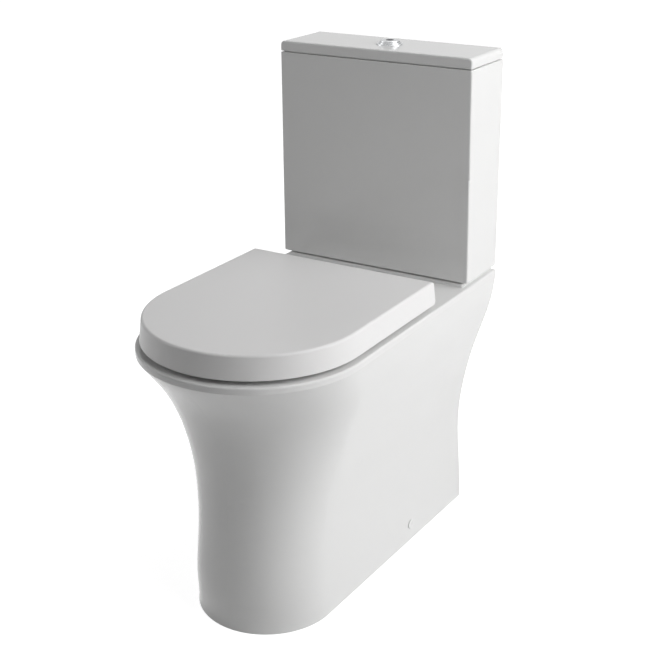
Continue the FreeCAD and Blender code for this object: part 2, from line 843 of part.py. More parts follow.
def make_flush_lever():
    """A bar on a boss: the push rod meets its short arm, the hook rests over its long arm."""
    bar = block(
        lever_pivot_x - lever_lift_arm, full_rod_offset + rod_radius,
        outlet_axis - lever_half_width, outlet_axis + lever_half_width,
        lever_level - lever_half_thickness, lever_level + lever_half_thickness,
    )
    boss = lengthwise(lever_boss_radius, cheek_near - touch_gap, lever_pivot_x, lever_level)
    bore = lengthwise(lever_pin_radius, cheek_near + overrun, lever_pivot_x, lever_level)
    save("flush_lever", fuse(bar, boss).cut(bore))


def round_ended_rod(radius, z_low, z_high, x, distance):
    """An upright rod with a half ball at its lower end."""
    ball = Part.makeSphere(radius, at(x, distance, z_low + radius))
    return upright(radius, z_low + radius, z_high, x, distance).fuse(ball)


def make_button_housing():
    """Chrome bezel with a stepped collar and a threaded sleeve, and its nut under the lid."""
    collar_high = cistern_top + bezel_collar_height
    button_low = cistern_top + button_stand - button_height
    web_high = button_low - button_stroke - spring_pressed_length
    sleeve_low = web_high - bezel_web_thickness
    flange_high = cistern_top + bezel_flange_thickness
    flange = upright(bezel_flange_radius, cistern_top, flange_high, 0, outlet_axis)
    flange = flange.makeFillet(bezel_flange_thickness * half_share, edges_where(flange, flat_at(flange_high)))
    collar = upright(bezel_collar_radius, cistern_top, collar_high, 0, outlet_axis)
    collar = collar.makeFillet(
        (bezel_collar_radius - bezel_bore_radius) * half_share, edges_where(collar, flat_at(collar_high)),
    )
    thread = upright(bezel_thread_radius, sleeve_low, cistern_top, 0, outlet_axis)
    bore = upright(bezel_bore_radius, web_high, collar_high + overrun, 0, outlet_axis)
    rod_holes = []
    for x in (0, full_rod_offset):
        rod_holes.append(upright(
            bezel_web_hole_radius, sleeve_low - overrun, web_high + overrun, x, outlet_axis,
        ))
    housing = fuse(flange, collar, thread).cut([bore] + rod_holes)
    nut_high = cistern_top - cistern_lid_plate
    save("button_bezel", housing)
    save("button_locknut", sleeve(
        locknut_radius, bezel_thread_radius + thread_gap, nut_high - locknut_height, nut_high, 0, outlet_axis,
    ))
    return web_high


def make_buttons(web_high):
    """The ring gives a full flush and the dished centre a half flush; each has a rod and a spring."""
    top = cistern_top + button_stand
    low = top - button_height
    ring_radius = bezel_bore_radius - button_gap
    ring = upright(ring_radius, low, top, 0, outlet_axis)
    ring = ring.makeFillet(button_edge_radius, edges_where(ring, flat_at(top)))
    ring = ring.cut(upright(centre_button_radius + button_gap, low - overrun, top + overrun, 0, outlet_axis))
    centre = upright(centre_button_radius, low, top, 0, outlet_axis)
    dish_middle = at(0, outlet_axis, top - button_dish_depth + button_dish_radius)
    centre = centre.cut(Part.makeSphere(button_dish_radius, dish_middle))
    full_low = lever_level + lever_half_thickness + touch_gap
    full_rod = round_ended_rod(rod_radius, full_low, low, full_rod_offset, outlet_axis)
    side = half_rod_side
    jog_start = at(0, outlet_axis, half_rod_jog_level)
    jog_end = at(side, outlet_axis + side, half_rod_jog_level)
    jog = Part.makeCylinder(half_rod_radius, (jog_end - jog_start).Length, jog_start, jog_end - jog_start)
    half_rod = fuse(
        upright(half_rod_radius, half_rod_jog_level, low, 0, outlet_axis),
        Part.makeSphere(half_rod_radius, jog_start),
        jog,
        Part.makeSphere(half_rod_radius, jog_end),
        upright(half_rod_radius, half_rod_end, half_rod_jog_level, side, outlet_axis + side),
    )
    save("full_flush_button", ring)
    save("half_flush_button", centre)
    save("full_flush_rod", full_rod)
    save("half_flush_rod", half_rod)
    springs = {"full_flush_spring": full_spring_radius, "half_flush_spring": half_spring_radius}
    for node, radius in springs.items():
        save(node, sleeve(radius, radius - spring_wall, web_high, low, 0, outlet_axis))


def make_fill_valve():
    """Tail with a neck below its nut, riser and head, with the washer and the nut."""
    floor = cistern_bottom + cistern_floor
    flange_low = floor + fill_washer_thickness
    flange_high = flange_low + fill_flange_thickness
    tail_low = cistern_bottom - fill_tail_drop
    head_high = fill_head_level + fill_head_height
    body = fuse(
        upright(fill_tail_radius, tail_low, flange_high, inlet_x, outlet_axis),
        upright(fill_flange_radius, flange_low, flange_high, inlet_x, outlet_axis),
        upright(fill_riser_radius, flange_high, fill_head_level, inlet_x, outlet_axis),
        upright(fill_head_radius, fill_head_level, head_high, inlet_x, outlet_axis),
    )
    thread = fill_tail_radius + thread_gap
    nut_low = cistern_bottom - fill_nut_height
    bore = upright(fill_bore_radius, tail_low - overrun, fill_head_level, inlet_x, outlet_axis)
    neck = sleeve(
        thread, fill_tail_radius - fill_neck_depth, nut_low - fill_neck_height, nut_low, inlet_x, outlet_axis,
    )
    body = body.cut([bore, neck])
    nut = hexagon(fill_nut_radius, nut_low, cistern_bottom, inlet_x, outlet_axis)
    nut = nut.cut(upright(thread, nut_low - overrun, cistern_bottom + overrun, inlet_x, outlet_axis))
    save("fill_valve_body", body)
    save("fill_valve_washer", sleeve(fill_flange_radius, thread, floor, flange_low, inlet_x, outlet_axis))
    save("fill_valve_backnut", nut)


def make_float_arm():
    """Cap with two ears, and the arm that the float's link pushes up."""
    head_high = fill_head_level + fill_head_height
    cap_high = head_high + fill_cap_height
    pivot_x = inlet_x + float_arm_pivot_x
    arm_low = float_arm_level - float_arm_half_thickness
    near = outlet_axis - float_arm_half_width
    far = outlet_axis + float_arm_half_width
    ears = []
    for ear_near in (near - touch_gap - float_ear_thickness, far + touch_gap):
        ears.append(block(
            pivot_x - float_ear_half_width, pivot_x + float_ear_half_width,
            ear_near, ear_near + float_ear_thickness,
            head_high, float_arm_level + float_ear_half_width,
        ))
    cap = fuse(upright(fill_cap_radius, head_high, cap_high, inlet_x, outlet_axis), *ears)
    pin_half_length = float_arm_half_width + touch_gap + float_ear_thickness
    cap = cap.cut(lengthwise(float_arm_pin_radius, pin_half_length + overrun, pivot_x, float_arm_level))
    arm = block(
        pivot_x, inlet_x + float_link_reach + float_link_radius * 2, near, far,
        arm_low, arm_low + float_arm_half_thickness * 2,
    )
    boss = lengthwise(float_arm_boss_radius, float_arm_half_width, pivot_x, float_arm_level)
    bore = lengthwise(float_arm_pin_radius, pin_half_length + overrun, pivot_x, float_arm_level)
    save("fill_valve_cap", cap)
    save("float_arm", fuse(arm, boss).cut(bore))
    save("float_arm_pin", lengthwise(
        float_arm_pin_radius - running_gap, pin_half_length, pivot_x, float_arm_level,
    ))


def make_float():
    """Float cup that slides on the riser, with the link that reaches up to the arm."""
    high = float_low + float_height
    cup = sleeve(float_radius, fill_riser_radius + float_bore_gap, float_low, high, inlet_x, outlet_axis)
    link_x = inlet_x + float_link_reach
    link_high = float_arm_level - float_arm_half_thickness - touch_gap
    link = upright(float_link_radius, float_low, link_high - float_link_radius, link_x, outlet_axis)
    tip = Part.makeSphere(float_link_radius, at(link_x, outlet_axis, link_high - float_link_radius))
    ear = block(
        inlet_x + float_radius - float_ear_thickness, link_x + float_link_radius,
        outlet_axis - float_ear_half_width, outlet_axis + float_ear_half_width,
        float_low, float_low + float_ear_thickness,
    )
    save("fill_valve_float", fuse(cup, ear, link, tip))


def lid_shell(inset, rear, z_low, z_high):
    """The seat lid's drafted D, or its inside when inset by the wall."""
    wires = []
    for z in (z_low, z_high):
        draft = lid_draft * (z - lid_bottom) / (lid_top - lid_bottom) + inset
        wires.append(d_wire(lid_half_width - draft, lid_half_width - draft, rear, lid_front - draft, z))
    return Part.makeLoft(wires, True, True)


def make_seat_lid():
    """Wrap-over lid: a plate with a skirt at the sides and nose, open at the rear and below."""
    shell = lid_shell(0, lid_rear, lid_bottom, lid_top)
    shell = shell.makeFillet(lid_edge_radius, edges_where(shell, flat_at(lid_top)))
    inner_rear = lid_rear - lid_rear_corner_radius
    hollow = lid_shell(lid_skirt_wall, inner_rear, lid_bottom - overrun, lid_top - lid_plate_thickness)
    lid = shell.cut(hollow)
    rear_corners = edges_where(
        lid,
        lambda edge: flat_at(lid_bottom)(edge) and edge.BoundBox.YMin > wall_y - lid_rear - touch_gap,
    )
    lid = lid.makeFillet(lid_rear_corner_radius, rear_corners)
    plate_low = lid_top - lid_plate_thickness
    arm = [
        (hinge_axis, hinge_level), (hinge_axis, hinge_level + knuckle_radius), (lid_rear, plate_low),
        (lid_rear + lid_rear_corner_radius, plate_low), (lid_rear + lid_rear_corner_radius, hinge_level),
    ]
    knuckles = []
    for side in (-1, 1):
        centre = side * (hinge_post_x + post_half_width + knuckle_gap + knuckle_length * half_share)
        knuckles.append(knuckle(centre, arm))
    lid = fuse(lid, *knuckles).cut(hinge_bore(damper_radius))
    save("seat_lid", lid)


def knuckle(x, arm_outline):
    """A hinge barrel with the arm that joins it to the seat in front of it."""
    low_x = x - knuckle_length * half_share
    high_x = x + knuckle_length * half_share
    barrel = crossbar(knuckle_radius, low_x, high_x, hinge_axis, hinge_level)
    return barrel.fuse(side_prism(low_x, high_x, arm_outline))


def hinge_bore(radius):
    return crossbar(radius + running_gap, -lid_half_width, lid_half_width, hinge_axis, hinge_level)


def make_seat_ring():
    """D-shaped ring with an oval hole and two hinge barrels."""
    inset = lid_skirt_wall + ring_side_gap
    half_width = lid_half_width - lid_draft - inset
    front = lid_front - lid_draft - inset
    ring = d_prism(half_width, half_width, ring_rear, front, ring_bottom, ring_top)
    ring = ring.makeFillet(ring_edge_radius, edges_where(ring, flat_at(ring_top)))
    outline = oval_wire(ring_hole_half_width, ring_hole_half_length, ring_hole_centre, ring_bottom)
    hole = Part.Face(outline).extrude(UP * (ring_top - ring_bottom))
    ring = ring.cut(hole)
    mouth = edges_where(
        ring,
        lambda edge: flat_at(ring_top)(edge) and edge.BoundBox.XLength > ring_hole_half_width
        and edge.BoundBox.XMax < ring_hole_half_width + touch_gap,
    )
    ring = ring.makeFillet(ring_hole_edge_radius, mouth)
    arm_low = hinge_level - knuckle_arm_height * half_share
    arm_high = arm_low + knuckle_arm_height
    arm_front = ring_rear + knuckle_radius
    arm = [(hinge_axis, arm_low), (arm_front, arm_low), (arm_front, arm_high), (hinge_axis, arm_high)]
    knuckles = []
    for side in (-1, 1):
        centre = side * (hinge_post_x - post_half_width - knuckle_gap - knuckle_length * half_share)
        knuckles.append(knuckle(centre, arm))
    save("seat_ring", fuse(ring, *knuckles).cut(hinge_bore(damper_radius)))


def make_buffers():
    """Rubber feet between the ring and the rim, and between the lid and the ring."""
    ring_feet = []
    lid_feet = []
    for side in (-1, 1):
        for distance in (ring_buffer_rear, ring_buffer_front):
            x = side * (lid_half_width - ring_buffer_inset)
            ring_feet.append(block(
                x - ring_buffer_half_width, x + ring_buffer_half_width,
                distance - ring_buffer_half_length, distance + ring_buffer_half_length,
                rim_height + touch_gap, ring_bottom,
            ))
            lid_feet.append(upright(
                lid_buffer_radius, ring_top + touch_gap, lid_top - lid_plate_thickness, x, distance,
            ))
    save("seat_ring_buffers", group(*ring_feet))
    save("seat_lid_buffers", group(*lid_feet))


def make_hinges():
    """Posts bolted to the deck, pins, dampers in the seat's barrels, and the fastenings below."""
    x = hinge_post_x
    gasket_high = rim_height + post_gasket_thickness
    base_high = gasket_high + post_base_height
    post = fuse(
        upright(post_base_radius, gasket_high, base_high, x, hinge_axis),
        block(
            x - post_half_width, x + post_half_width, hinge_axis - post_half_depth,
            hinge_axis + post_half_depth, gasket_high, hinge_level,
        ),
        crossbar(post_half_depth, x - post_half_width, x + post_half_width, hinge_axis, hinge_level),
    )
    pin_hole = crossbar(
        hinge_pin_radius, x - knuckle_length * 2, x + knuckle_length * 2, hinge_axis, hinge_level,
    )
    bolt_high = hinge_level - hinge_pin_radius - post_gasket_thickness
    bolt_hole = upright(hinge_bolt_radius + thread_gap, gasket_high - overrun, bolt_high, x, hinge_axis)
    pin = crossbar(
        hinge_pin_radius - running_gap, x - hinge_pin_half_length, x + hinge_pin_half_length,
        hinge_axis, hinge_level,
    )
    deck_low = rim_height - deck_thickness
    washer_low = deck_low - hinge_washer_thickness
    bolt_low = bolt_high - hinge_bolt_length
    save("hinge_posts", pair(post.cut([pin_hole, bolt_hole])))
    save("hinge_pins", pair(pin))
    save("hinge_bolts", pair(upright(hinge_bolt_radius, bolt_low, bolt_high, x, hinge_axis)))
    bolt_bore = hinge_bolt_radius + thread_gap
    save("hinge_post_gaskets", pair(sleeve(
        post_base_radius, bolt_bore, rim_height, gasket_high, x, hinge_axis,
    )))
    save("hinge_washers", pair(sleeve(hinge_washer_radius, bolt_bore, washer_low, deck_low, x, hinge_axis)))
    save("hinge_wing_nuts", pair(wing_nut(hinge_bolt_radius, washer_low, x, hinge_axis)))
    inner = post_half_width + knuckle_gap
    outer = inner + knuckle_length
    save("seat_lid_dampers", pair(cross_sleeve(
        damper_radius, hinge_pin_radius, x + inner, x + outer, hinge_axis, hinge_level,
    )))
    save("seat_ring_dampers", pair(cross_sleeve(
        damper_radius, hinge_pin_radius, x - outer, x - inner, hinge_axis, hinge_level,
    )))


def main():
    os.makedirs("parts", exist_ok=True)
    make_pan()
    make_floor_fixings()
    save("cistern_body", make_cistern_body())
    save("cistern_lid", make_cistern_lid())
    save("cistern_support_pads", make_support_pads())
    make_coupling()
    make_overflow_tube(make_flush_valve_base())
    make_flush_valve_cage()
    make_flush_lever()
    make_buttons(make_button_housing())
    make_fill_valve()
    make_float_arm()
    make_float()
    make_seat_lid()
    make_seat_ring()
    make_buffers()
    make_hinges()


main()
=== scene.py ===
import math
import bmesh
import bpy
from mathutils import Matrix, Vector


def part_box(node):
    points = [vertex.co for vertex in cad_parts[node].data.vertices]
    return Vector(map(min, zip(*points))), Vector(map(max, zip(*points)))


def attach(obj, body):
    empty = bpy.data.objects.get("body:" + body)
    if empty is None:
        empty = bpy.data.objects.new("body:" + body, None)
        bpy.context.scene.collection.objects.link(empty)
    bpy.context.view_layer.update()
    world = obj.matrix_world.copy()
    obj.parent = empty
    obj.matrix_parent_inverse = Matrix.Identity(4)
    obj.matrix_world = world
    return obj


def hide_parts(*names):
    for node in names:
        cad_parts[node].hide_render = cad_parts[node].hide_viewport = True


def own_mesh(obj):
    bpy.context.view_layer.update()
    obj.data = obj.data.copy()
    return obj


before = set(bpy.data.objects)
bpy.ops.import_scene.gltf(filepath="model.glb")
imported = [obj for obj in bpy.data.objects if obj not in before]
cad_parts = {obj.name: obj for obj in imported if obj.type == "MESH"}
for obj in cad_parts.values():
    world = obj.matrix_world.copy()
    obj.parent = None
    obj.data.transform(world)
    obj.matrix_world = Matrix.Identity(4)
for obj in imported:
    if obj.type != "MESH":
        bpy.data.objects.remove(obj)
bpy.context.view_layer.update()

bl_info = {
    "name": "Back-to-wall toilet",
    "version": (1, 0, 0),
    "blender": (4, 5, 0),
    "location": "View3D > Sidebar > Toilet",
    "description": "Finishes and fine detail for a close-coupled back-to-wall toilet",
    "category": "Object",
}

MILLIMETRE = 0.001
BODY = "suite"
WHITE = (1.0, 1.0, 1.0, 1.0)
FLOOR_COLOUR = (0.8, 0.8, 0.8, 1.0)
SHOWN_FLOOR_COLOUR = (0.55, 0.55, 0.55, 1.0)
SENSOR_WIDTH = 36.0
LIGHT_TARGET = (0.0, 0.12, 0.48)

# Each lamp's name, place, side and the setting that holds its power
LAMPS = (
    ("side_light", (1.9, 0.1, 1.5), 1.9, "side_power"),
    ("wall_light", (2.0, 0.8, 1.9), 1.9, "wall_power"),
    ("left_light", (-3.2, -1.0, 1.6), 2.0, "left_power"),
    ("top_light", (0.2, 0.6, 3.2), 1.2, "top_power"),
)

# Strength of the plain reflections, where 0.5 is common plastic
GLAZE_SPECULAR = 0.2
SEAT_SPECULAR = 0.22

# How soft the reflections of each finish are
CHROME_ROUGHNESS = 0.24
DISH_ROUGHNESS = 0.2
ZINC_ROUGHNESS = 0.34
SMOOTHEST_ZINC = 0.26
DULLEST_ZINC = 0.46
CAP_ROUGHNESS = 0.2
WHITE_FITTING_ROUGHNESS = 0.38
GREY_FITTING_ROUGHNESS = 0.42
BUFFER_ROUGHNESS = 0.55
RUBBER_ROUGHNESS = 0.62

# Colour of each plate seen at a glancing angle
CHROME_EDGE_COLOUR = (0.9, 0.9, 0.9)
# The small button's glancing colour is dark as a painted dark reflection of the room
DISH_REFLECTION_EDGE_COLOUR = (0.3, 0.3, 0.31)

# Facets of a coil spring
STEPS_A_TURN = 28
WIRE_SIDES = 10

# Nodes by finish
GLAZED_NODES = ("pan", "pan_bowl", "pan_trapway", "cistern_body", "cistern_lid")
SEAT_NODES = ("seat_lid", "seat_ring")
CHROME_NODES = ("button_bezel", "full_flush_button", "hinge_posts")
DISH_NODES = ("half_flush_button",)
CAP_NODES = ("side_fixing_caps",)
STEEL_NODES = (
    "side_fixing_screws", "coupling_bolts", "coupling_washers", "flush_lever_pin", "float_arm_pin",
    "hinge_pins", "hinge_bolts",
)
RUBBER_NODES = (
    "cistern_support_pads", "coupling_bolt_seals", "doughnut_washer", "flush_valve_washer",
    "flush_seal", "fill_valve_washer", "hinge_post_gaskets", "hinge_washers",
)
BUFFER_NODES = ("seat_lid_buffers", "seat_ring_buffers")
WHITE_FITTING_NODES = (
    "flush_valve_base", "flush_valve_backnut", "flush_valve_cage", "fill_valve_body",
    "fill_valve_backnut", "float_arm", "button_locknut", "full_flush_rod", "half_flush_rod",
    "hinge_wing_nuts",
)
GREY_FITTING_NODES = (
    "floor_brackets", "overflow_tube", "flush_lever", "fill_valve_cap", "fill_valve_float",
    "seat_lid_dampers", "seat_ring_dampers",
)
ZINC_NUT_NODES = ("coupling_wing_nuts",)


class CeramicSettings(bpy.types.PropertyGroup):
    glaze_colour: bpy.props.FloatVectorProperty(
        name="Glaze colour", description="Colour of the white glaze", subtype="COLOR",
        size=3, min=0.0, max=1.0, default=(0.865, 0.865, 0.86),
    )
    glaze_roughness: bpy.props.FloatProperty(
        name="Glaze roughness", description="How soft the glaze's reflections are", default=0.12,
    )
    glaze_wave: bpy.props.FloatProperty(
        name="Glaze wave", description="Height of the glaze's slow waves", unit="LENGTH",
        default=0.25 * MILLIMETRE,
    )
    glaze_peel: bpy.props.FloatProperty(
        name="Glaze peel", description="Height of the glaze's fine texture", unit="LENGTH",
        default=0.01 * MILLIMETRE,
    )


class SeatSettings(bpy.types.PropertyGroup):
    seat_colour: bpy.props.FloatVectorProperty(
        name="Seat colour", description="Colour of the moulded seat", subtype="COLOR",
        size=3, min=0.0, max=1.0, default=(0.89, 0.885, 0.883),
    )
    seat_roughness: bpy.props.FloatProperty(
        name="Seat roughness", description="How soft the seat's reflections are", default=0.38,
    )


class MetalSettings(bpy.types.PropertyGroup):
    chrome_colour: bpy.props.FloatVectorProperty(
        name="Chrome colour", description="Colour of the chrome plate", subtype="COLOR",
        size=3, min=0.0, max=1.0, default=(0.6, 0.61, 0.62),
    )
    # Dark plate colour of the small flush button: a painted dark reflection of the room
    dish_reflection_colour: bpy.props.FloatVectorProperty(
        name="Dish colour", description="Colour of the darker plate on the small flush button",
        subtype="COLOR", size=3, min=0.0, max=1.0, default=(0.09, 0.09, 0.1),
    )
    steel_colour: bpy.props.FloatVectorProperty(
        name="Steel colour", description="Colour of the zinc-plated steel", subtype="COLOR",
        size=3, min=0.0, max=1.0, default=(0.55, 0.55, 0.57),
    )


class FittingSettings(bpy.types.PropertyGroup):
    rubber_colour: bpy.props.FloatVectorProperty(
        name="Rubber colour", description="Colour of the seals and washers", subtype="COLOR",
        size=3, min=0.0, max=1.0, default=(0.035, 0.035, 0.037),
    )
    buffer_colour: bpy.props.FloatVectorProperty(
        name="Buffer colour", description="Colour of the seat's soft buffers", subtype="COLOR",
        size=3, min=0.0, max=1.0, default=(0.62, 0.62, 0.61),
    )
    white_colour: bpy.props.FloatVectorProperty(
        name="White fitting colour", description="Colour of the white plastic fittings",
        subtype="COLOR", size=3, min=0.0, max=1.0, default=(0.72, 0.72, 0.7),
    )
    grey_colour: bpy.props.FloatVectorProperty(
        name="Grey fitting colour", description="Colour of the grey plastic fittings",
        subtype="COLOR", size=3, min=0.0, max=1.0, default=(0.2, 0.23, 0.26),
    )
    spring_wire: bpy.props.FloatProperty(
        name="Spring wire", description="Diameter of the button springs' wire", unit="LENGTH",
        default=1.0 * MILLIMETRE,
    )
    spring_turns: bpy.props.IntProperty(
        name="Spring turns", description="Turns of each button spring", default=6,
    )
    button_travel: bpy.props.FloatProperty(
        name="Button travel", description="How far each half of the button goes down",
        default=6.0 * MILLIMETRE, unit="LENGTH",
    )


class StageSettings(bpy.types.PropertyGroup):
    camera_place: bpy.props.FloatVectorProperty(
        name="Camera place", description="Where the camera stands", subtype="TRANSLATION",
        unit="LENGTH", size=3, default=(1.0232, -1.5990, 1.2077),
    )
    camera_azimuth: bpy.props.FloatProperty(
        name="Camera azimuth", description="Turn of the view to the right of the front",
        subtype="ANGLE", default=math.radians(31.3708),
    )
    camera_elevation: bpy.props.FloatProperty(
        name="Camera elevation", description="Tilt of the view below the horizon",
        subtype="ANGLE", default=math.radians(22.2869),
    )
    camera_roll: bpy.props.FloatProperty(
        name="Camera roll", description="Turn about the line of sight",
        subtype="ANGLE", default=math.radians(-0.3301),
    )
    camera_lens: bpy.props.FloatProperty(
        name="Camera lens", description="Focal length on a 36 mm sensor, in millimetres",
        default=67.42,
    )
    side_power: bpy.props.FloatProperty(
        name="Side light", description="Power of the soft light at the right", default=28.8,
    )
    wall_power: bpy.props.FloatProperty(
        name="Wall light", description="Power of the soft light at the right, by the wall",
        default=16.5,
    )
    left_power: bpy.props.FloatProperty(
        name="Left light", description="Power of the soft light far to the left", default=23.4,
    )
    top_power: bpy.props.FloatProperty(
        name="Top light", description="Power of the soft light overhead", default=9.2,
    )
    fill_level: bpy.props.FloatProperty(
        name="Fill level", description="Brightness of the room's even light", default=0.075,
    )
    floor_size: bpy.props.FloatProperty(
        name="Floor size", description="Side of the square floor", unit="LENGTH", default=60.0,
    )
    near_glow: bpy.props.FloatProperty(
        name="Near glow", description="How white the floor looks by the object before any light",
        default=0.86,
    )
    far_glow: bpy.props.FloatProperty(
        name="Far glow", description="How white the floor looks far from the object",
        default=1.0,
    )
    glow_start: bpy.props.FloatProperty(
        name="Glow start", description="Distance at which the floor begins to turn whiter",
        unit="LENGTH", default=0.3,
    )
    glow_reach: bpy.props.FloatProperty(
        name="Glow reach", description="Distance at which the floor looks fully white",
        unit="LENGTH", default=1.6,
    )


def settings(group):
    """The scene's values of one group of settings."""
    return getattr(bpy.context.scene, group)


class Finish:
    """A procedural material in the making: its nodes, its links and its surface shader."""

    def __init__(self, name, colour, roughness, metallic=0.0):
        self.material = bpy.data.materials.new(name)
        self.material.use_nodes = True
        self.tree = self.material.node_tree
        self.shader = self.tree.nodes["Principled BSDF"]
        self.shader.inputs["Base Color"].default_value = (*colour, 1.0)
        self.shader.inputs["Roughness"].default_value = roughness
        self.shader.inputs["Metallic"].default_value = metallic
        self.place = self.tree.nodes.new("ShaderNodeTexCoord").outputs["Object"]
        self.normal = None

    def noise(self, scale, detail=2.0, stretch=(1.0, 1.0, 1.0)):
        """Noise over the object's own coordinates, stretched along its axes."""
        mapping = self.tree.nodes.new("ShaderNodeMapping")
        mapping.inputs["Scale"].default_value = stretch
        node = self.tree.nodes.new("ShaderNodeTexNoise")
        node.inputs["Scale"].default_value = scale
        node.inputs["Detail"].default_value = detail
        self.tree.links.new(self.place, mapping.inputs["Vector"])
        self.tree.links.new(mapping.outputs["Vector"], node.inputs["Vector"])
        return node.outputs["Fac"]

    def spread(self, value, low, high):
        """Maps a 0 to 1 pattern onto a range."""
        node = self.tree.nodes.new("ShaderNodeMapRange")
        node.inputs["To Min"].default_value = low
        node.inputs["To Max"].default_value = high
        self.tree.links.new(value, node.inputs["Value"])
        return node.outputs["Result"]

    def tint(self, value, low_colour, high_colour):
        """Varies the base colour between two close colours."""
        mix = self.tree.nodes.new("ShaderNodeMix")
        mix.data_type = "RGBA"
        mix.inputs["A"].default_value = (*low_colour, 1.0)
        mix.inputs["B"].default_value = (*high_colour, 1.0)
        self.tree.links.new(value, mix.inputs["Factor"])
        self.tree.links.new(mix.outputs["Result"], self.shader.inputs["Base Color"])

    def vary_roughness(self, value, low, high):
        """Varies how soft the reflections are between two levels."""
        self.tree.links.new(self.spread(value, low, high), self.shader.inputs["Roughness"])

    def bump(self, value, height):
        """Adds a relief of a real height on top of any relief before it."""
        node = self.tree.nodes.new("ShaderNodeBump")
        node.inputs["Distance"].default_value = height
        self.tree.links.new(value, node.inputs["Height"])
        if self.normal is not None:
            self.tree.links.new(self.normal, node.inputs["Normal"])
        self.normal = node.outputs["Normal"]
        self.tree.links.new(self.normal, self.shader.inputs["Normal"])


def shade(colour, factor):
    """A colour made darker or lighter by one factor."""
    return tuple(channel * factor for channel in colour)


def glazed_ceramic():
    """White glaze: slow waves, a fine peel and a slightly uneven white."""
    values = settings("toilet_ceramic")
    colour = values.glaze_colour
    finish = Finish("white_glaze", colour, values.glaze_roughness)
    roughness = values.glaze_roughness
    finish.tint(finish.noise(scale=7.0, detail=3.0), shade(colour, factor=0.985), colour)
    finish.vary_roughness(finish.noise(scale=24.0, detail=2.0), roughness * 0.8, roughness * 1.25)
    finish.bump(finish.noise(scale=5.0, detail=1.0), values.glaze_wave)
    finish.bump(finish.noise(scale=420.0, detail=2.0), values.glaze_peel)
    finish.shader.inputs["Specular IOR Level"].default_value = GLAZE_SPECULAR
    return finish.material


def seat_plastic():
    """Pressed thermoset: softer in its shine than the glaze, with a very fine texture."""
    values = settings("toilet_seat")
    colour = values.seat_colour
    finish = Finish("seat_thermoset", colour, values.seat_roughness)
    roughness = values.seat_roughness
    finish.tint(finish.noise(scale=11.0, detail=2.0), shade(colour, factor=0.99), colour)
    finish.vary_roughness(finish.noise(scale=60.0, detail=3.0), roughness * 0.85, roughness * 1.2)
    finish.bump(finish.noise(scale=900.0, detail=2.0), height=0.006 * MILLIMETRE)
    finish.shader.inputs["Specular IOR Level"].default_value = SEAT_SPECULAR
    return finish.material


def plated(name, colour, roughness, edge_colour):
    """Polished plate with a faint haze and the slight unevenness of buffing."""
    finish = Finish(name, colour, roughness, metallic=1.0)
    finish.shader.inputs["Specular Tint"].default_value = (*edge_colour, 1.0)
    finish.tint(finish.noise(scale=160.0, detail=3.0), shade(colour, factor=0.94), colour)
    finish.vary_roughness(finish.noise(scale=700.0, detail=4.0), roughness * 0.7, roughness * 1.5)
    finish.bump(finish.noise(scale=300.0, detail=2.0), height=0.004 * MILLIMETRE)
    return finish.material


def zinc_steel():
    """Zinc plate: a mottled passivated skin over turned steel."""
    colour = settings("toilet_metal").steel_colour
    finish = Finish("zinc_steel", colour, ZINC_ROUGHNESS, metallic=1.0)
    finish.tint(finish.noise(scale=240.0, detail=5.0), shade(colour, factor=0.8), colour)
    finish.vary_roughness(finish.noise(scale=520.0, detail=3.0), SMOOTHEST_ZINC, DULLEST_ZINC)
    turning = finish.noise(scale=1500.0, detail=2.0, stretch=(1.0, 1.0, 6.0))
    finish.bump(turning, height=0.02 * MILLIMETRE)
    return finish.material


def moulded(name, colour, roughness, grain):
    """Injection-moulded plastic with a spark-eroded grain."""
    finish = Finish(name, colour, roughness)
    finish.tint(finish.noise(scale=40.0, detail=3.0), shade(colour, factor=0.95), colour)
    finish.vary_roughness(finish.noise(scale=350.0, detail=2.0), roughness * 0.85, roughness * 1.15)
    finish.bump(finish.noise(scale=1400.0, detail=3.0), grain)
    return finish.material


def rubber(name, colour, roughness):
    """Soft rubber: matt, faintly mottled, with a little bloom."""
    finish = Finish(name, colour, roughness)
    dark, pale = shade(colour, factor=0.8), shade(colour, factor=1.25)
    finish.tint(finish.noise(scale=180.0, detail=4.0), dark, pale)
    finish.vary_roughness(finish.noise(scale=90.0, detail=2.0), roughness * 0.9, roughness * 1.1)
    finish.bump(finish.noise(scale=1100.0, detail=2.0), height=0.03 * MILLIMETRE)
    return finish.material


def dress(nodes, material):
    """Gives nodes of the frame a finish."""
    for name in nodes:
        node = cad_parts[name]
        node.data.materials.clear()
        node.data.materials.append(material)


def finished_object(name, bm, material, body, replaced):
    """Turns a bmesh into a piece that rides on a body and stands for some of its nodes."""
    mesh = bpy.data.meshes.new(name)
    bm.to_mesh(mesh)
    bm.free()
    mesh.materials.append(material)
    piece = bpy.data.objects.new(name, mesh)
    bpy.context.scene.collection.objects.link(piece)
    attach(piece, body)
    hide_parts(*replaced)
    return piece


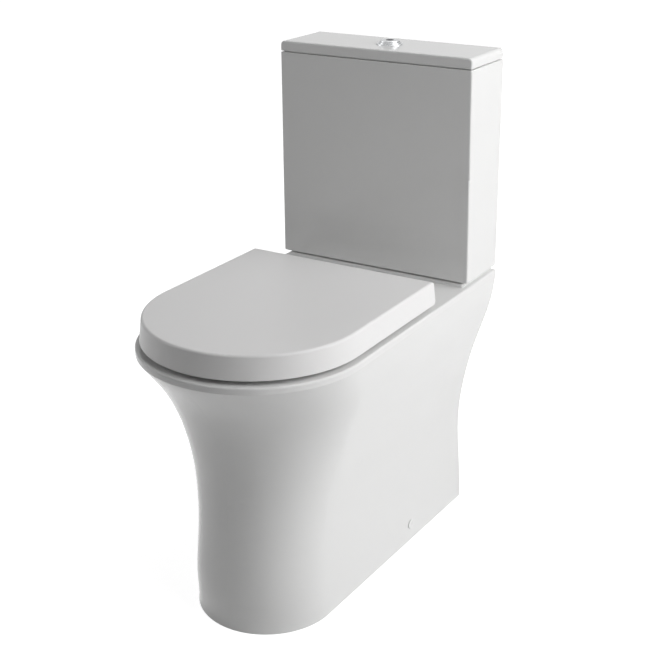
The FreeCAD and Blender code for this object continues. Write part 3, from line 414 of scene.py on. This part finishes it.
def coil_spring(name, node, wire, turns, material):
    """A round-wire spring that fills a node of the frame."""
    low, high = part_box(node)
    middle = (low + high) / 2
    wire_radius = wire / 2
    coil_radius = (high.x - low.x) / 2 - wire_radius
    rise = high.z - low.z - wire
    steps = STEPS_A_TURN * turns
    bm = bmesh.new()
    turn_up = Matrix.Rotation(math.pi / 2, 4, "X")
    start = Matrix.Translation((middle.x + coil_radius, middle.y, low.z + wire_radius)) @ turn_up
    ring = bmesh.ops.create_circle(bm, segments=WIRE_SIDES, radius=wire_radius, matrix=start)
    spun = bmesh.ops.spin(
        bm, geom=ring["verts"] + bm.edges[:], cent=(middle.x, middle.y, low.z), axis=(0, 0, 1),
        dvec=(0, 0, rise / steps), angle=math.tau * turns, steps=steps,
    )
    last_verts = [item for item in spun["geom_last"] if isinstance(item, bmesh.types.BMVert)]
    bmesh.ops.contextual_create(bm, geom=ring["verts"])
    bmesh.ops.contextual_create(bm, geom=last_verts)
    bmesh.ops.recalc_face_normals(bm, faces=bm.faces[:])
    for face in bm.faces:
        face.smooth = True
    piece = finished_object(name, bm, material, BODY, (node,))
    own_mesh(piece)


class TOILET_OT_ceramic(bpy.types.Operator):
    """Glazes the pan, the cistern and its lid"""
    bl_idname = "toilet.ceramic"
    bl_label = "Glaze the ceramic"

    def execute(self, context):
        dress(GLAZED_NODES, glazed_ceramic())
        return {"FINISHED"}


class TOILET_OT_seat(bpy.types.Operator):
    """Finishes the seat's lid, ring and buffers"""
    bl_idname = "toilet.seat"
    bl_label = "Finish the seat"

    def execute(self, context):
        buffer_colour = settings("toilet_fitting").buffer_colour
        dress(SEAT_NODES, seat_plastic())
        dress(BUFFER_NODES, rubber("seat_buffer", buffer_colour, BUFFER_ROUGHNESS))
        return {"FINISHED"}


class TOILET_OT_button(bpy.types.Operator):
    """Plates the push button and gives each half a real coil spring"""
    bl_idname = "toilet.button"
    bl_label = "Finish the push button"

    def execute(self, context):
        values = settings("toilet_fitting")
        metals = settings("toilet_metal")
        bright = plated(
            "bright_chrome", metals.chrome_colour, CHROME_ROUGHNESS, CHROME_EDGE_COLOUR,
        )
        dress(CHROME_NODES, bright)
        # The small button's dark plate and dark glancing colour paint in a dark reflection
        dark = plated("dark_chrome", metals.dish_reflection_colour, DISH_ROUGHNESS, DISH_REFLECTION_EDGE_COLOUR)
        dress(DISH_NODES, dark)
        steel = zinc_steel()
        for joint in ("full_flush", "half_flush"):
            node = joint + "_spring"
            coil_spring(
                node + "_coil", node, values.spring_wire, values.spring_turns,
                steel,
            )
        dress(STEEL_NODES + ZINC_NUT_NODES, steel)
        return {"FINISHED"}


class TOILET_OT_fittings(bpy.types.Operator):
    """Finishes the valves, seals, brackets and caps"""
    bl_idname = "toilet.fittings"
    bl_label = "Finish the fittings"

    def execute(self, context):
        values = settings("toilet_fitting")
        cap_colour = settings("toilet_ceramic").glaze_colour
        white = moulded(
            "white_fitting", values.white_colour, WHITE_FITTING_ROUGHNESS, grain=0.012 * MILLIMETRE,
        )
        dress(WHITE_FITTING_NODES, white)
        grey = moulded(
            "grey_fitting", values.grey_colour, GREY_FITTING_ROUGHNESS, grain=0.015 * MILLIMETRE,
        )
        dress(GREY_FITTING_NODES, grey)
        cap = moulded("cap_plastic", cap_colour, CAP_ROUGHNESS, grain=0.004 * MILLIMETRE)
        dress(CAP_NODES, cap)
        dress(RUBBER_NODES, rubber("black_rubber", values.rubber_colour, RUBBER_ROUGHNESS))
        return {"FINISHED"}


def pale_room():
    """An even light on the object, and plain white where camera, gloss or glass sees past it."""
    world = bpy.data.worlds.new("pale_room")
    world.use_nodes = True
    tree = world.node_tree
    tree.nodes.clear()
    even = tree.nodes.new("ShaderNodeBackground")
    even.inputs["Color"].default_value = WHITE
    even.inputs["Strength"].default_value = settings("toilet_stage").fill_level
    white = tree.nodes.new("ShaderNodeBackground")
    white.inputs["Color"].default_value = WHITE
    seen = seen_rays(tree)
    mix = tree.nodes.new("ShaderNodeMixShader")
    output = tree.nodes.new("ShaderNodeOutputWorld")
    tree.links.new(seen, mix.inputs["Fac"])
    tree.links.new(even.outputs["Background"], mix.inputs[1])
    tree.links.new(white.outputs["Background"], mix.inputs[2])
    tree.links.new(mix.outputs["Shader"], output.inputs["Surface"])
    bpy.context.scene.world = world


def seen_rays(tree):
    """A flag for the rays that see the background: the camera's, and those of gloss and glass."""
    path = tree.nodes.new("ShaderNodeLightPath")
    total = path.outputs["Is Camera Ray"]
    for kind in ("Is Glossy Ray", "Is Transmission Ray"):
        node = tree.nodes.new("ShaderNodeMath")
        node.operation = "ADD"
        node.use_clamp = True
        tree.links.new(total, node.inputs[0])
        tree.links.new(path.outputs[kind], node.inputs[1])
        total = node.outputs["Value"]
    return total


def floor_material():
    """Pale matt floor that shows white to the camera and keeps the object's shadow."""
    material = bpy.data.materials.new("pale_floor")
    material.use_nodes = True
    tree = material.node_tree
    tree.nodes.clear()
    plain = tree.nodes.new("ShaderNodeBsdfDiffuse")
    plain.inputs["Color"].default_value = FLOOR_COLOUR
    pale = tree.nodes.new("ShaderNodeBsdfDiffuse")
    pale.inputs["Color"].default_value = SHOWN_FLOOR_COLOUR
    values = settings("toilet_stage")
    place = tree.nodes.new("ShaderNodeTexCoord").outputs["Object"]
    distance = tree.nodes.new("ShaderNodeVectorMath")
    distance.operation = "LENGTH"
    rise = tree.nodes.new("ShaderNodeMapRange")
    rise.interpolation_type = "SMOOTHSTEP"
    rise.inputs["From Min"].default_value = values.glow_start
    rise.inputs["From Max"].default_value = values.glow_reach
    rise.inputs["To Min"].default_value = values.near_glow
    rise.inputs["To Max"].default_value = values.far_glow
    glow = tree.nodes.new("ShaderNodeEmission")
    tree.links.new(place, distance.inputs[0])
    tree.links.new(distance.outputs["Value"], rise.inputs["Value"])
    tree.links.new(rise.outputs["Result"], glow.inputs["Strength"])
    shown = tree.nodes.new("ShaderNodeAddShader")
    mix = tree.nodes.new("ShaderNodeMixShader")
    output = tree.nodes.new("ShaderNodeOutputMaterial")
    seen = seen_rays(tree)
    tree.links.new(pale.outputs["BSDF"], shown.inputs[0])
    tree.links.new(glow.outputs["Emission"], shown.inputs[1])
    tree.links.new(seen, mix.inputs["Fac"])
    tree.links.new(plain.outputs["BSDF"], mix.inputs[1])
    tree.links.new(shown.outputs["Shader"], mix.inputs[2])
    tree.links.new(mix.outputs["Shader"], output.inputs["Surface"])
    return material


def soft_light(name, place, side, power):
    """A square soft light that faces the middle of the object."""
    lamp = bpy.data.lights.new(name, "AREA")
    lamp.size = side
    lamp.energy = power
    holder = bpy.data.objects.new(name, lamp)
    bpy.context.scene.collection.objects.link(holder)
    direction = Vector(LIGHT_TARGET) - Vector(place)
    holder.rotation_euler = direction.to_track_quat("-Z", "Y").to_euler()
    holder.location = place


def camera_turn(values):
    """The camera's axes from its azimuth, elevation and roll."""
    azimuth = values.camera_azimuth
    elevation = values.camera_elevation
    level = math.cos(elevation)
    back = Vector((math.sin(azimuth) * level, -math.cos(azimuth) * level, math.sin(elevation)))
    right = Vector((math.cos(azimuth), math.sin(azimuth), 0.0))
    turn = Matrix((right, back.cross(right), back)).transposed()
    return turn @ Matrix.Rotation(values.camera_roll, 3, "Z")


class TOILET_OT_stage(bpy.types.Operator):
    """Builds the floor, the lights and the camera"""
    bl_idname = "toilet.stage"
    bl_label = "Build the stage"

    def execute(self, context):
        values = settings("toilet_stage")
        scene = context.scene
        scene.view_settings.view_transform = "Standard"
        bm = bmesh.new()
        bmesh.ops.create_grid(bm, x_segments=1, y_segments=1, size=values.floor_size / 2)
        mesh = bpy.data.meshes.new("floor")
        bm.to_mesh(mesh)
        bm.free()
        mesh.materials.append(floor_material())
        floor = bpy.data.objects.new("floor", mesh)
        scene.collection.objects.link(floor)
        pale_room()
        for name, place, side, power in LAMPS:
            soft_light(name, place, side, getattr(values, power))
        camera = bpy.data.cameras.new("camera")
        camera.lens = values.camera_lens
        camera.sensor_width = SENSOR_WIDTH
        holder = bpy.data.objects.new("camera", camera)
        scene.collection.objects.link(holder)
        holder.matrix_world = Matrix.Translation(values.camera_place) @ camera_turn(values).to_4x4()
        scene.camera = holder
        return {"FINISHED"}


class TOILET_PT_panel(bpy.types.Panel):
    """Lists the toilet's steps and settings"""
    bl_idname = "TOILET_PT_panel"
    bl_label = "Back-to-wall toilet"
    bl_space_type = "VIEW_3D"
    bl_region_type = "UI"
    bl_category = "Toilet"

    def draw(self, context):
        for step in STEPS:
            self.layout.operator(step.bl_idname)
        for name, group in GROUPS.items():
            box = self.layout.box()
            for prop in group.__annotations__:
                box.prop(getattr(context.scene, name), prop)


GROUPS = {
    "toilet_ceramic": CeramicSettings,
    "toilet_seat": SeatSettings,
    "toilet_metal": MetalSettings,
    "toilet_fitting": FittingSettings,
    "toilet_stage": StageSettings,
}
STEPS = (
    TOILET_OT_stage,
    TOILET_OT_ceramic,
    TOILET_OT_seat,
    TOILET_OT_button,
    TOILET_OT_fittings,
)


def register():
    """Adds the settings, the steps and the panel to Blender."""
    for name, group in GROUPS.items():
        bpy.utils.register_class(group)
        setattr(bpy.types.Scene, name, bpy.props.PointerProperty(type=group))
    for step in STEPS:
        bpy.utils.register_class(step)
    bpy.utils.register_class(TOILET_PT_panel)


def unregister():
    """Takes the panel, the steps and the settings out again."""
    bpy.utils.unregister_class(TOILET_PT_panel)
    for step in reversed(STEPS):
        bpy.utils.unregister_class(step)
    for name, group in GROUPS.items():
        delattr(bpy.types.Scene, name)
        bpy.utils.unregister_class(group)


def main():
    """Runs every step in order."""
    register()
    for step in STEPS:
        prefix, name = step.bl_idname.split(".")
        getattr(getattr(bpy.ops, prefix), name)()


if __name__ == "__main__":
    main()
